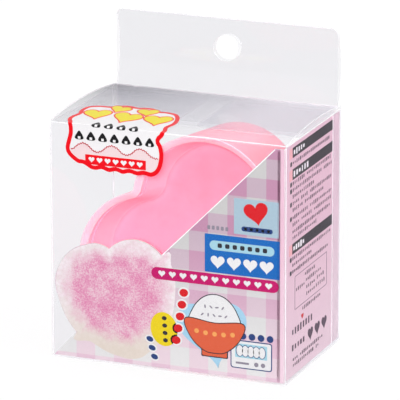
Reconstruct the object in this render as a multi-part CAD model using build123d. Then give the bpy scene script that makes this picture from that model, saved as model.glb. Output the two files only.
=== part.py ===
from build123d import *
from math import atan2, cos, degrees, radians, sin, sqrt
import os

# Heart-shaped rice ball mold in its clear hang box, in millimetres.
# Origin: middle of the footprint, on the surface the box stands on. +Z up, -Y is the front.

# Heart outline of the mold, seen from its open side
lobe_radius = 28.0
lobe_offset = 15.8  # lobe centre from the heart's middle line
tip_radius = 14.0
tip_distance = 43.6  # tip centre below the line through the lobe centres
side_radius = 92.6  # bulge of the two long sides
cleft_radius = 2.5  # rounding between the lobes
heart_tilt = 47.6  # degrees from upright, so the tip points into the lower right corner

# Mold cup
cup_depth = 41.0
cup_draw = 5.0  # how far the outline draws in from rim to back
cup_wall = 2.1
cup_floor = 2.4
cup_corner = 3.0  # rounding between cup wall and cup floor
cup_back_round = 1.6
rim_land = 0.4  # flat strip round the very edge of the rim
rim_dish = 2.7  # the rim slopes down to its inner edge by this much
press_step = 1.2  # ledge that the press plate sits on

# Press plate, a shallow tray that sits inside the cup
press_drop = 1.6  # the tray's edge sits this far below the inner edge of the rim
press_recess = 11.4
press_floor = 2.2
press_lip = 0.5  # flat strip round the tray's edge
press_slope = 3.9  # how far the tray's wall leans in
press_corner = 1.5  # rounding between tray wall and tray floor
press_fit = 0.3  # gap between press plate and cup wall
press_seat_gap = 0.2

# Clear sheet of the box, and how much room the mold has inside
sheet = 0.4
left_room = 4.2
top_room = 3.0
front_room = 13.3
back_room = 2.3
seat_clearance = 0.3  # mold to floor and to the side leaf of the card
crease_gap = 0.5  # flap to the panel it is creased to
lid_gap = 0.3  # lid underside to the panels and flaps below it

# Lid and flaps
lid_bow = 2.0  # the lid arches up by this much between its front and back edges
lid_taper = 1.2  # each side of the lid draws in by this much at the back edge
tuck_length = 12.0
tuck_lean = 5.0  # degrees, the tuck leans in from the back panel
tuck_end_inset = 1.6
tuck_corner = 5.0
back_gap = 0.3  # lid to back panel
dust_middle_gap = 8.9  # between the free ends of the two dust flaps
dust_front_inset = 15.0
dust_back_inset = 5.0
dust_corner = 4.0
lock_notch_inset = 10.0  # lock notch from each end of the lid's back edge
lock_notch_width = 3.0
lock_notch_depth = 0.8

# Closed end of the box
floor_middle_gap = 14.9  # between the free ends of the two floor flaps
floor_flap_inset = 2.0
floor_tuck_length = 12.0
glue_flap_width = 8.0

# Hang tab
tab_height = 29.0
tab_inset = 1.8
tab_corner = 3.0
hang_hole_diameter = 10.0
hang_hole_height = 17.6  # hole centre above the lid
ply_bow = 2.6  # how far the rear ply stands off at its middle
glue_strip = 12.0  # height of the rear ply's glued strip

# Printed card
card = 0.4
card_gap = 0.15  # card to the clear sheet in front of it
card_top_gap = 0.6
card_border = 3.6  # full-height strip of the front leaf beside its fold

# Cut edge of the printed rice ball, from the card's lower left corner: left foot to right foot
rice_left_foot = (8.9, 9.6)
rice_left_belly = (2.8, 19.0)
rice_left_side = (0.6, 28.3)
rice_left_shoulder = (4.2, 38.1)
rice_left_top = (12.7, 43.7)
rice_left_dip = (17.6, 44.6)
rice_cleft = (22.1, 43.1)
rice_right_top = (30.4, 47.6)
rice_right_foot = (42.7, 43.0)

# Sticker that wraps over the front crease of the lid
sticker = 0.12
sticker_left = 5.6  # from the box's left edge
sticker_width = 40.4
sticker_drop = 16.8  # down the front panel
sticker_reach = 22.8  # back over the lid
sticker_drop_corner = 8.0
sticker_reach_corner = 10.0
sticker_crease_gap = 0.5

# Worked out from the sizes above
overshoot = 1.0  # cutters reach this far past a face
press_top = rim_dish + press_drop  # depth of the tray's edge below the rim
press_height = press_recess + press_floor
press_foot = press_top + press_height
seat_depth = press_foot + press_seat_gap
hang_hole_radius = hang_hole_diameter / 2


def arc_between(centre, radius, start, end):
    """Arc from one direction, given as a vector from its centre, to another."""
    start_angle = degrees(atan2(start.Y, start.X))
    sweep = degrees(atan2(end.Y, end.X)) - start_angle
    sweep = (sweep + 180) % 360 - 180
    return CenterArc(centre, radius, start_angle, sweep)


def mirrored(vector):
    return Vector(-vector.X, vector.Y)


def heart_face(inset, height):
    """Heart outline drawn in by an inset, every arc keeping its centre."""
    lobe = Vector(lobe_offset, 0)
    tip = Vector(0, -tip_distance)
    cleft = Vector(0, sqrt((lobe_radius + cleft_radius) ** 2 - lobe_offset ** 2))
    to_tip = tip - lobe
    reach_lobe = side_radius - lobe_radius
    reach_tip = side_radius - tip_radius
    along = (reach_lobe ** 2 - reach_tip ** 2 + to_tip.length ** 2) / (2 * to_tip.length)
    across = sqrt(reach_lobe ** 2 - along ** 2)
    unit = to_tip.normalized()
    side = lobe + unit * along + Vector(unit.Y, -unit.X) * across
    lobe_top = Vector(0, 1) + Vector(1, 0)
    cleft_arc = arc_between(cleft, cleft_radius + inset, mirrored(lobe) - cleft, lobe - cleft)
    lobe_in = arc_between(lobe, lobe_radius - inset, cleft - lobe, lobe_top)
    lobe_out = arc_between(lobe, lobe_radius - inset, lobe_top, lobe - side)
    side_arc = arc_between(side, side_radius - inset, lobe - side, tip - side)
    tip_arc = arc_between(tip, tip_radius - inset, tip - side, mirrored(tip - side))
    right = [lobe_in, lobe_out, side_arc]
    left = [edge.mirror(Plane.YZ) for edge in reversed(right)]
    outline = Wire([cleft_arc, *right, tip_arc, *left])
    return Pos(0, 0, height) * Face(outline)


def heart_solid(sections):
    """Heart drawn through (height, inset) sections."""
    return loft([heart_face(inset, height) for height, inset in sections], ruled=True)


def draw_at(depth):
    return cup_draw * depth / cup_depth


def rounded_floor(top, floor_depth, floor_inset, corner):
    """Sections from a top section down to a floor with a rounded corner."""
    sections = [top]
    for angle in (0, 30, 60, 90):
        height = -floor_depth + corner * (1 - sin(radians(angle)))
        inset = floor_inset + corner * (1 - cos(radians(angle)))
        sections.append((height, inset))
    return sections


def make_cup():
    back_start = cup_depth - cup_back_round
    body = heart_solid([
        (0, 0),
        (-back_start, draw_at(back_start)),
        (-cup_depth, draw_at(cup_depth) + cup_back_round),
    ])
    rim_inner = cup_wall + draw_at(rim_dish)
    rim_slope = (rim_inner - rim_land) / rim_dish
    body -= heart_solid([(overshoot, rim_land - rim_slope * overshoot), (-rim_dish, rim_inner)])
    body -= heart_solid([(-rim_dish, rim_inner), (-seat_depth, cup_wall + draw_at(seat_depth))])
    floor_depth = cup_depth - cup_floor
    ledge_inner = cup_wall + draw_at(seat_depth) + press_step
    floor_inner = cup_wall + draw_at(floor_depth) + press_step
    body -= heart_solid(rounded_floor((-seat_depth, ledge_inner), floor_depth, floor_inner, cup_corner))
    return body


def make_press():
    top = cup_wall + draw_at(press_top) + press_fit
    foot = cup_wall + draw_at(press_foot) + press_fit
    body = heart_solid([(-press_top, top), (-press_foot, foot)])
    mouth = top + press_lip
    slope = press_slope / press_recess
    start = (overshoot - press_top, mouth - slope * overshoot)
    floor_inset = mouth + press_slope
    body -= heart_solid(rounded_floor(start, press_top + press_recess, floor_inset, press_corner))
    return body


def block(low, high):
    size = [b - a for a, b in zip(low, high)]
    return Pos(*low) * Box(*size, align=(Align.MIN, Align.MIN, Align.MIN))


# The box follows the tilted heart plus its rooms
heart_box = (Rot(0, 0, heart_tilt) * heart_face(0, 0)).bounding_box()
inside_width = left_room + heart_box.size.X + seat_clearance + card + card_gap + sheet
inside_depth = card_gap + card + front_room + cup_depth + back_room
floor_top = 2 * sheet  # closed end: bottom panel with its two flaps on it
dust_under = floor_top + seat_clearance + heart_box.size.Y + top_room
dust_top = dust_under + sheet
wall_top = dust_top
lid_under = wall_top + lid_gap
box_height = lid_under + sheet
left_in = -inside_width / 2
right_in = inside_width / 2
overall_depth = sticker + sheet + inside_depth + sheet + ply_bow + sheet
front_out = sticker - overall_depth / 2
front_in = front_out + sheet
back_in = front_in + inside_depth
lid_back = back_in - back_gap
left_out = left_in - sheet
right_out = right_in + sheet
back_out = back_in + sheet
card_front_y = front_in + card_gap
card_right_x = right_in - sheet - card_gap  # the glue flap lies between card and panel
rim_y = card_front_y + card + front_room
heart_x = card_right_x - card - seat_clearance - heart_box.max.X
heart_z = floor_top + seat_clearance - heart_box.min.Y

# Profiles in depth and height are drawn across the box from its left side
across_plane = Plane(origin=(left_out, 0, 0), x_dir=(0, 1, 0), z_dir=(1, 0, 0))

# Local frame of the mold: x along the lobes, y towards the cleft, z out of its open side
tilt_direction = (cos(radians(heart_tilt)), 0, sin(radians(heart_tilt)))
mold_plane = Plane(origin=(heart_x, rim_y, heart_z), x_dir=tilt_direction, z_dir=(0, -1, 0))


def round_corners(solid, axis, corner, picked):
    """Rounds the edges along an axis whose middle passes the picked test."""
    edges = [edge for edge in solid.edges().filter_by(axis) if picked(edge.center())]
    return fillet(edges, corner)


def front_panel():
    return block((left_out, front_out, sheet), (right_out, front_in, wall_top))


def left_panel():
    return block((left_out, front_in, sheet), (left_in, back_in, wall_top))


def right_panel():
    return block((right_in, front_in, sheet), (right_out, back_in, wall_top))


def tab_prism(y_low, y_high):
    """Outline of the hang tab, from the back panel up, with its hole."""
    low = (left_out + tab_inset, y_low, box_height - glue_strip)
    high = (right_out - tab_inset, y_high, box_height + tab_height)
    tab = block(low, high)
    tab = round_corners(tab, Axis.Y, tab_corner, lambda p: p.Z > box_height)
    hole = Pos(0, (y_low + y_high) / 2, box_height + hang_hole_height) * Rot(90, 0, 0)
    return tab - hole * Cylinder(hang_hole_radius, y_high - y_low + 2 * overshoot)


def back_panel():
    panel = block((left_out, back_in, sheet), (right_out, back_out, box_height))
    return panel + tab_prism(back_in, back_out)


def tab_rear_ply():
    """Second ply of the tab: glued below, bowed off behind the hole, folded over at the top."""
    top = box_height + tab_height
    bow_start = box_height
    middle = (top + bow_start) / 2
    glue_low = box_height - glue_strip
    inner = ThreePointArc((back_out, top), (back_out + ply_bow, middle), (back_out, bow_start))
    outer = ThreePointArc(
        (back_out + sheet, bow_start), (back_out + sheet + ply_bow, middle), (back_out + sheet, top)
    )
    strip = Polyline(
        (back_out, bow_start), (back_out, glue_low), (back_out + sheet, glue_low),
        (back_out + sheet, bow_start),
    )
    profile = make_face(inner.edges() + strip.edges() + outer.edges()
                        + Line((back_out + sheet, top), (back_out, top)).edges())
    ply = extrude(across_plane * profile, right_out - left_out)
    return ply & tab_prism(back_out - overshoot, back_out + sheet + ply_bow + overshoot)


def glue_flap():
    low = (right_in - sheet, back_in - glue_flap_width, floor_top)
    high = (right_in, back_in, wall_top - sheet)
    return block(low, high)


def bottom_panel():
    return block((left_out, front_out, 0), (right_out, back_out, sheet))


def bottom_dust_flap(side):
    """Floor flap on the bottom panel: side is -1 for left, 1 for right."""
    low_y = front_in + floor_flap_inset
    high_y = back_in - sheet - floor_flap_inset
    reach = floor_middle_gap / 2
    if side < 0:
        return block((left_in, low_y, sheet), (-reach, high_y, floor_top))
    return block((reach, low_y, sheet), (right_in, high_y, floor_top))


def bottom_tuck_flap():
    low = (left_in + tuck_end_inset, back_in - sheet, sheet)
    high = (right_in - glue_flap_width, back_in, sheet + floor_tuck_length)
    return block(low, high)


def arched_slab(base, thickness):
    """Slab over the whole lid that follows its arch."""
    middle = (front_out + lid_back) / 2
    top = base + thickness
    lower = ThreePointArc((front_out, base), (middle, base + lid_bow), (lid_back, base))
    upper = ThreePointArc((lid_back, top), (middle, top + lid_bow), (front_out, top))
    back_edge = Line((lid_back, base), (lid_back, top))
    front_edge = Line((front_out, top), (front_out, base))
    profile = Face(Wire([lower, back_edge, upper, front_edge]))
    return extrude(across_plane * profile, right_out - left_out)


def lid_outline():
    """Prism of the lid seen from above, a little narrower at its back edge."""
    corners = [
        (left_out, front_out),
        (right_out, front_out),
        (right_out - lid_taper, lid_back),
        (left_out + lid_taper, lid_back),
    ]
    face = make_face(Polyline(*corners, close=True))
    return Pos(0, 0, lid_under - overshoot) * extrude(face, sheet + lid_bow + 2 * overshoot)


def lid_panel():
    lid = arched_slab(lid_under, sheet) & lid_outline()
    for side in (-1, 1):
        x = side * (right_out - lock_notch_inset)
        low = (x - lock_notch_width / 2, lid_back - lock_notch_depth, lid_under - overshoot)
        high = (x + lock_notch_width / 2, lid_back + overshoot, box_height + lid_bow)
        lid -= block(low, high)
    return lid


def lid_tuck_flap():
    """Tuck of the lid, leaning in from the back panel about its crease."""
    low = (left_in + tuck_end_inset, -sheet, -crease_gap - tuck_length)
    high = (right_in - tuck_end_inset - sheet, 0, -crease_gap)
    middle = -crease_gap - tuck_length / 2
    flap = round_corners(block(low, high), Axis.Y, tuck_corner, lambda p: p.Z < middle)
    return Pos(0, lid_back, lid_under) * Rot(-tuck_lean, 0, 0) * flap


def dust_flap(side):
    """Top flap creased to a side panel: side is -1 for left, 1 for right."""
    low_y = front_out + dust_front_inset
    high_y = back_in - dust_back_inset
    length = (inside_width - dust_middle_gap) / 2
    flap = block((crease_gap, low_y, dust_under), (length, high_y, dust_top))
    flap = round_corners(flap, Axis.Z, dust_corner, lambda p: p.X > length / 2)
    if side < 0:
        return Pos(left_in, 0, 0) * flap
    return Pos(right_in, 0, 0) * mirror(flap, Plane.YZ)


def card_front_leaf():
    """Front leaf of the card: below a diagonal, with the cut-out edge of the printed rice ball."""
    corner = Vector(left_in + card_gap, floor_top)
    width = card_right_x - corner.X
    height = dust_under - card_top_gap - floor_top
    edges = [
        Line((0, 0), (width, 0)),
        Line((width, 0), (width, height)),
        Line((width, height), (width - card_border, height)),
        Line((width - card_border, height), rice_right_foot),
        ThreePointArc(rice_right_foot, rice_right_top, rice_cleft),
        ThreePointArc(rice_cleft, rice_left_dip, rice_left_top),
        ThreePointArc(rice_left_top, rice_left_shoulder, rice_left_side),
        ThreePointArc(rice_left_side, rice_left_belly, rice_left_foot),
        Line(rice_left_foot, (0, 0)),
    ]
    face = Face(Wire(edges))
    plane = Plane(origin=(corner.X, card_front_y + card, corner.Y), x_dir=(1, 0, 0), z_dir=(0, -1, 0))
    return extrude(plane * face, card)


def card_side_leaf():
    low = (card_right_x - card, card_front_y + card, floor_top)
    high = (card_right_x, back_in - card_gap, dust_under - card_top_gap)
    return block(low, high)


def sticker_front():
    left = left_out + sticker_left
    low = (left, front_out - sticker, box_height - sticker_drop)
    high = (left + sticker_width, front_out, wall_top - sticker_crease_gap)
    middle = (low[2] + high[2]) / 2
    return round_corners(block(low, high), Axis.Y, sticker_drop_corner, lambda p: p.Z < middle)


def sticker_lid():
    left = left_out + sticker_left
    low = (left, front_out + sticker_crease_gap, lid_under)
    high = (left + sticker_width, front_out + sticker_reach, box_height + lid_bow + overshoot)
    middle = (low[1] + high[1]) / 2
    outline = round_corners(block(low, high), Axis.Z, sticker_reach_corner, lambda p: p.Y > middle)
    return outline & arched_slab(box_height, sticker)


nodes = {
    "front_panel": front_panel(),
    "left_panel": left_panel(),
    "right_panel": right_panel(),
    "back_panel": back_panel(),
    "tab_rear_ply": tab_rear_ply(),
    "glue_flap": glue_flap(),
    "bottom_panel": bottom_panel(),
    "bottom_dust_flap_left": bottom_dust_flap(-1),
    "bottom_dust_flap_right": bottom_dust_flap(1),
    "bottom_tuck_flap": bottom_tuck_flap(),
    "lid_panel": lid_panel(),
    "lid_tuck_flap": lid_tuck_flap(),
    "dust_flap_left": dust_flap(-1),
    "dust_flap_right": dust_flap(1),
    "card_front_leaf": card_front_leaf(),
    "card_side_leaf": card_side_leaf(),
    "sticker_front": sticker_front(),
    "sticker_lid": sticker_lid(),
    "mold_cup": mold_plane * make_cup(),
    "press_plate": mold_plane * make_press(),
}

os.makedirs("parts", exist_ok=True)
for name, shape in nodes.items():
    export_step(shape, f"parts/{name}.step")
print(f"box {right_out - left_out:.2f} x {back_out - front_out:.2f} x {box_height:.2f}")
print(f"heart middle {heart_x:.2f}, {heart_z:.2f}; rim plane {rim_y:.2f}")
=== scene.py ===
import math
import bmesh
import bpy
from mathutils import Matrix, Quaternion, Vector


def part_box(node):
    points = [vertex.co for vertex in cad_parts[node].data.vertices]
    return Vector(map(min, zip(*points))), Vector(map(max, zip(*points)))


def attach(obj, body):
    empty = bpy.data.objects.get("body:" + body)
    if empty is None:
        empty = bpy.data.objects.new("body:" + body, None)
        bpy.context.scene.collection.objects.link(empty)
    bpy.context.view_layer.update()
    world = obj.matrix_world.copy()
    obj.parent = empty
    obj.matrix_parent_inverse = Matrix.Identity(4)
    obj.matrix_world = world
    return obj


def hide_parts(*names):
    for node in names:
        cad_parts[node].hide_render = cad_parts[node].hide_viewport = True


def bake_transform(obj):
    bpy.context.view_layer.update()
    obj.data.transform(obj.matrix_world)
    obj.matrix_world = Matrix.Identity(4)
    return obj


# Heart-shaped rice ball mold in its clear hang box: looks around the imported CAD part
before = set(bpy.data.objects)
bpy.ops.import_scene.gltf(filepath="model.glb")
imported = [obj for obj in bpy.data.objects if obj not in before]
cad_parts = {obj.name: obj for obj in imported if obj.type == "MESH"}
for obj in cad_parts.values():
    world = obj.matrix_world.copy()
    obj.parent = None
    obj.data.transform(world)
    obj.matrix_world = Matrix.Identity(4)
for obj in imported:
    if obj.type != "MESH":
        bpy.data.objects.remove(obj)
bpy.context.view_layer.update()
mm = 0.001
print("frame loaded:", len(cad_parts), "nodes")


def linear(hexCode):  # sRGB hex to linear
    parts = [int(hexCode[i:i + 2], 16) / 255 for i in (0, 2, 4)]
    return tuple(c / 12.92 if c <= 0.04045 else ((c + 0.055) / 1.055) ** 2.4 for c in parts) + (1.0,)


def addNode(tree, kind, inputs=None, stops=None, **settings):  # one node with settings, links and ramp stops
    node = tree.nodes.new(kind)
    for key, value in settings.items():
        setattr(node, key, value)
    for key, value in (inputs or {}).items():
        if isinstance(value, bpy.types.Node):  # a node stands for its first output in use
            value = next(socket for socket in value.outputs if socket.enabled)
        if isinstance(value, bpy.types.NodeSocket):
            tree.links.new(value, node.inputs[key])
        else:
            node.inputs[key].default_value = value
    for i, (position, colour) in enumerate(stops or []):
        elements = node.color_ramp.elements
        element = elements[i] if i < len(elements) else elements.new(position)
        element.position = position
        element.color = colour
    return node


def newMaterial(name):
    material = bpy.data.materials.new(name)
    material.use_nodes = True
    material.node_tree.nodes.clear()
    return material, material.node_tree


def makePiece(name, points, faces, materials, smooth=False, edges=()):  # points in metres, in the row frame
    mesh = bpy.data.meshes.new(name)
    mesh.from_pydata(points, edges, faces)
    for material in materials:
        mesh.materials.append(material)
    mesh.polygons.foreach_set("use_smooth", [smooth] * len(mesh.polygons))
    mesh.update()
    piece = bpy.data.objects.new(name, mesh)
    bpy.context.scene.collection.objects.link(piece)
    return piece


def outwards(piece):  # merge doubles, then turn every face outwards
    work = bmesh.new()
    work.from_mesh(piece.data)
    bmesh.ops.remove_doubles(work, verts=work.verts, dist=1e-7)
    bmesh.ops.recalc_face_normals(work, faces=work.faces)
    work.to_mesh(piece.data)
    work.free()


def place(piece, body, nodes=()):  # the piece's body and the nodes it stands for, which get hidden
    if nodes:
        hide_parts(*nodes)
    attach(piece, body)


def dress(node, material):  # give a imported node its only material
    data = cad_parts[node].data
    data.materials.clear()
    data.materials.append(material)


# Where things are, read from the frame
moldLow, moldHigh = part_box("mold_cup")
frontLow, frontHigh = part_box("front_panel")
backLow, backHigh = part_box("back_panel")
lidLow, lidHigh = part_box("lid_panel")
leftLow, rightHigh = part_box("left_panel")[0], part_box("right_panel")[1]
cardLow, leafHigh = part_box("card_front_leaf")[0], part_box("card_side_leaf")[1]
sheetThick = frontHigh.y - frontLow.y
lidCrease = lidLow.z + sheetThick  # height of the lid's top at its front crease

# Studio: white table and room, a small key lamp near the camera, soft ones to the right, above, left and behind
studio = dict(
    azimuth=22.04, elevation=16.57, roll=-0.115, distance=1497.5, lens=367.6, target=(1.08, -1.44, 57.2),
    clip=(0.05, 40), sheetsDeep=40, floorSize=9.0, floorDrop=0.05, floorColour="606061", floorLift=0.86,
    floorGlow=0.35, skyFrom=-0.3, skyTo=0.9, skyLow=0.26, skyHigh=0.46, mirrored=("sideLamp", "topLamp"),
    lamps=[
        ("keyLamp", (567, -1516, 582), 160, 33.0),
        ("sideLamp", (1000, 20, 320), 480, 6.6),
        ("topLamp", (-60, 60, 980), 640, 1.4),
        ("leftLamp", (-1050, 260, 360), 480, 4.5),
        ("backLamp", (-120, 1150, 420), 600, 6.5),
    ],
)


def makeStudio():
    scene = bpy.context.scene
    scene.view_settings.view_transform = "Standard"
    scene.cycles.transparent_max_bounces = studio["sheetsDeep"]  # many clear sheets lie behind each other
    a, e = math.radians(studio["azimuth"]), math.radians(studio["elevation"])
    back = Vector((math.sin(a) * math.cos(e), -math.cos(a) * math.cos(e), math.sin(e)))
    target = Vector(studio["target"]) * mm
    camera = bpy.data.objects.new("camera", bpy.data.cameras.new("camera"))
    camera.data.lens = studio["lens"]
    camera.data.clip_start, camera.data.clip_end = studio["clip"]
    camera.location = target + back * studio["distance"] * mm
    camera.rotation_mode = "QUATERNION"
    roll = Quaternion((0, 0, 1), math.radians(studio["roll"]))
    camera.rotation_quaternion = (-back).to_track_quat("-Z", "Y") @ roll
    scene.collection.objects.link(camera)
    scene.camera = camera

    world = bpy.data.worlds.new("softRoom")
    world.use_nodes = True
    scene.world = world
    tree = world.node_tree
    tree.nodes.clear()
    path = addNode(tree, "ShaderNodeLightPath")
    seen = path.outputs["Is Camera Ray"]  # eye, mirrors and glass all see plain white
    for ray in ("Is Glossy Ray", "Is Transmission Ray"):
        seen = addNode(tree, "ShaderNodeMath", {0: seen, 1: path.outputs[ray]}, operation="MAXIMUM")
    coords = addNode(tree, "ShaderNodeTexCoord")
    split = addNode(tree, "ShaderNodeSeparateXYZ", {"Vector": coords.outputs["Generated"]})
    height = addNode(tree, "ShaderNodeMapRange", {
        "Value": split.outputs["Z"], "From Min": studio["skyFrom"], "From Max": studio["skyTo"],
        "To Min": studio["skyLow"], "To Max": studio["skyHigh"]})
    light = addNode(tree, "ShaderNodeBackground", {"Color": (1, 1, 1, 1), "Strength": height})
    white = addNode(tree, "ShaderNodeBackground", {"Color": (1, 1, 1, 1), "Strength": 1.0})
    mix = addNode(tree, "ShaderNodeMixShader", {0: seen, 1: light, 2: white})
    addNode(tree, "ShaderNodeOutputWorld", {"Surface": mix})

    for name, spot, size, power in studio["lamps"]:
        lamp = bpy.data.lights.new(name, "AREA")
        lamp.size = size * mm
        lamp.energy = power
        holder = bpy.data.objects.new(name, lamp)
        holder.location = Vector(spot) * mm
        holder.rotation_mode = "QUATERNION"
        holder.rotation_quaternion = (target - holder.location).to_track_quat("-Z", "Y")
        holder.visible_glossy = name in studio["mirrored"]  # the others would glare in the flat sheets
        scene.collection.objects.link(holder)

    # White laminate table top: pale and matt, lifted for the eye so that only a soft shadow shows on it
    material, tree = newMaterial("whiteLaminateTable")
    path = addNode(tree, "ShaderNodeLightPath")
    glow = addNode(tree, "ShaderNodeMath", {0: path.outputs["Is Glossy Ray"], 1: studio["floorGlow"]},
                   operation="MULTIPLY")
    lift = addNode(tree, "ShaderNodeMath", {
        0: path.outputs["Is Camera Ray"], 1: studio["floorLift"], 2: glow}, operation="MULTIPLY_ADD")
    plain = addNode(tree, "ShaderNodeBsdfPrincipled", {
        "Base Color": linear(studio["floorColour"]), "Roughness": 0.9, "Emission Color": (1, 1, 1, 1),
        "Emission Strength": lift, "Specular IOR Level": 0.0})
    addNode(tree, "ShaderNodeOutputMaterial", {"Surface": plain})
    half = studio["floorSize"] / 2
    floor = makePiece("floor", [(-half, -half, 0), (half, -half, 0), (half, half, 0), (-half, half, 0)],
                      [(0, 1, 2, 3)], [material])
    floor.location.z = -studio["floorDrop"] * mm


makeStudio()
print("studio ready")

# Clear PET sheet, calendered: see-through with a cool cast, mirror gloss that grows at a slant, white cut edges
pet = dict(
    # the shaded mirror colour and its reach give the lid's reflection a painted shade towards its left
    through=(0.979, 0.978, 0.984), mirror=(0.88, 0.86, 0.91, 1), paintedDarkReflection=(0.2, 0.2, 0.23, 1),
    straightOn=0.02, slantPower=5.0, roughness=0.02, wave=26.0, waveDepth=0.08, waveShow=0.3, edge="f4f5f8",
    edgeRoughness=0.45, cutBelow=0.6, glue=0.08, darkReflectionReach=0.6, ior=1.57
)


def petSheet(name, axis, shine, edgeCover, tint):
    # axis: thickness direction; shine: gloss at a flat slant; edgeCover: how milky the cut edges are
    material, tree = newMaterial(name)
    here = addNode(tree, "ShaderNodeTexCoord").outputs["Object"]
    wave = addNode(tree, "ShaderNodeTexNoise", {
        "Vector": here, "Scale": 1 / (pet["wave"] * mm), "Detail": 1.0, "Roughness": 0.4})
    bump = addNode(tree, "ShaderNodeBump", {
        "Height": wave, "Strength": pet["waveShow"], "Distance": pet["waveDepth"] * mm})
    facing = addNode(tree, "ShaderNodeLayerWeight", {"Blend": 0.5})
    slant = addNode(tree, "ShaderNodeMath", {0: facing.outputs["Facing"], 1: pet["slantPower"]},
                    operation="POWER")
    gloss = addNode(tree, "ShaderNodeMapRange", {"Value": slant, "To Min": pet["straightOn"], "To Max": shine})
    through = addNode(tree, "ShaderNodeBsdfTransparent", {
        "Color": tuple(c * tint for c in pet["through"]) + (1,)})
    mirror = addNode(tree, "ShaderNodeBsdfAnisotropic", {
        "Color": pet["mirror"], "Roughness": pet["roughness"], "Normal": bump})
    if name == "clearPetLid":  # painted shade: the arched lid's reflection is painted darker towards its left
        where = addNode(tree, "ShaderNodeSeparateXYZ", {"Vector": here})
        side = addNode(tree, "ShaderNodeMapRange", {
            "Value": where.outputs["X"], "From Min": leftLow.x, "From Max": rightHigh.x * pet["darkReflectionReach"]})
        darkReflection = addNode(tree, "ShaderNodeMix", {0: side, 6: pet["paintedDarkReflection"], 7: pet["mirror"]},
                       data_type="RGBA")
        tree.links.new(darkReflection.outputs[2], mirror.inputs["Color"])
    clear = addNode(tree, "ShaderNodeMixShader", {0: gloss, 1: through, 2: mirror})
    milky = addNode(tree, "ShaderNodeBsdfPrincipled", {
        "Base Color": linear(pet["edge"]), "Roughness": pet["edgeRoughness"], "IOR": pet["ior"]})
    cut = addNode(tree, "ShaderNodeMixShader", {0: edgeCover, 1: through, 2: milky})
    if name == "gluedPetFlap":  # dried glue leaves the seam a little milky
        clear = addNode(tree, "ShaderNodeMixShader", {0: pet["glue"], 1: clear, 2: milky})
    shape = addNode(tree, "ShaderNodeNewGeometry")
    split = addNode(tree, "ShaderNodeSeparateXYZ", {"Vector": shape.outputs["True Normal"]})
    along = addNode(tree, "ShaderNodeMath", {0: split.outputs[axis]}, operation="ABSOLUTE")
    isCut = addNode(tree, "ShaderNodeMath", {0: along, 1: pet["cutBelow"]}, operation="LESS_THAN")
    sheet = addNode(tree, "ShaderNodeMixShader", {0: isCut, 1: clear, 2: cut})
    path = addNode(tree, "ShaderNodeLightPath")
    passing = addNode(tree, "ShaderNodeMath", {
        0: path.outputs["Is Shadow Ray"], 1: path.outputs["Is Diffuse Ray"]}, operation="MAXIMUM")
    bare = addNode(tree, "ShaderNodeBsdfTransparent", {"Color": (1, 1, 1, 1)})  # lamp light passes as if bare
    mix = addNode(tree, "ShaderNodeMixShader", {0: passing, 1: sheet, 2: bare})
    addNode(tree, "ShaderNodeOutputMaterial", {"Surface": mix})
    return material


def dressBox():
    sheets = [  # material, thickness direction, shine, edge cover, tint, nodes
        ("clearPetSheetY", "Y", 1.0, 0.55, 1.0,
         ["front_panel", "back_panel", "bottom_tuck_flap", "lid_tuck_flap"]),
        ("clearPetTab", "Y", 1.0, 0.55, 0.978, ["tab_rear_ply"]),
        ("clearPetSheetX", "X", 0.2, 0.55, 1.0, ["left_panel", "right_panel"]),
        ("gluedPetFlap", "X", 0.4, 0.4, 1.0, ["glue_flap"]),
        ("clearPetLid", "Z", 1.0, 0.55, 1.0, ["lid_panel"]),
        ("clearPetFlap", "Z", 0.35, 0.22, 1.0, ["dust_flap_left", "dust_flap_right"]),
        ("clearPetFloor", "Z", 0.35, 0.22, 1.02,
         ["bottom_panel", "bottom_dust_flap_left", "bottom_dust_flap_right"]),
    ]
    for name, axis, shine, edgeCover, tint, nodes in sheets:
        material = petSheet(name, axis, shine, edgeCover, tint)
        for node in nodes:
            dress(node, material)


dressBox()
print("clear box dressed")

# Pink polypropylene, injection moulded: satin and a little translucent; painted light makes the rim paler
# and the inner walls lighter, painted shade makes it darker towards the top, and a painted glow keeps shaded
# walls pink; grain and embossed dots are drawn coarser than the mould's, so that they show
plastic = dict(
    body="ff869c", bodyLight="ff94ad", paintedPale="ffc5d3", wall="ffb1c4", ior=1.49, roughness=0.6, shine=0.15,
    cloud=9.0, fade=0.3, paintedShadeTop=12, paintedShadeFoot=42, grain=0.55, emboss=1.1, relief=0.1, scatter=4.0,
    scatterShare=0.6, scatterRadius=(1.0, 0.5, 0.6), paintedGlowColour=(1.0, 0.28, 0.42, 1), paintedGlowStrength=0.28
)


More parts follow.
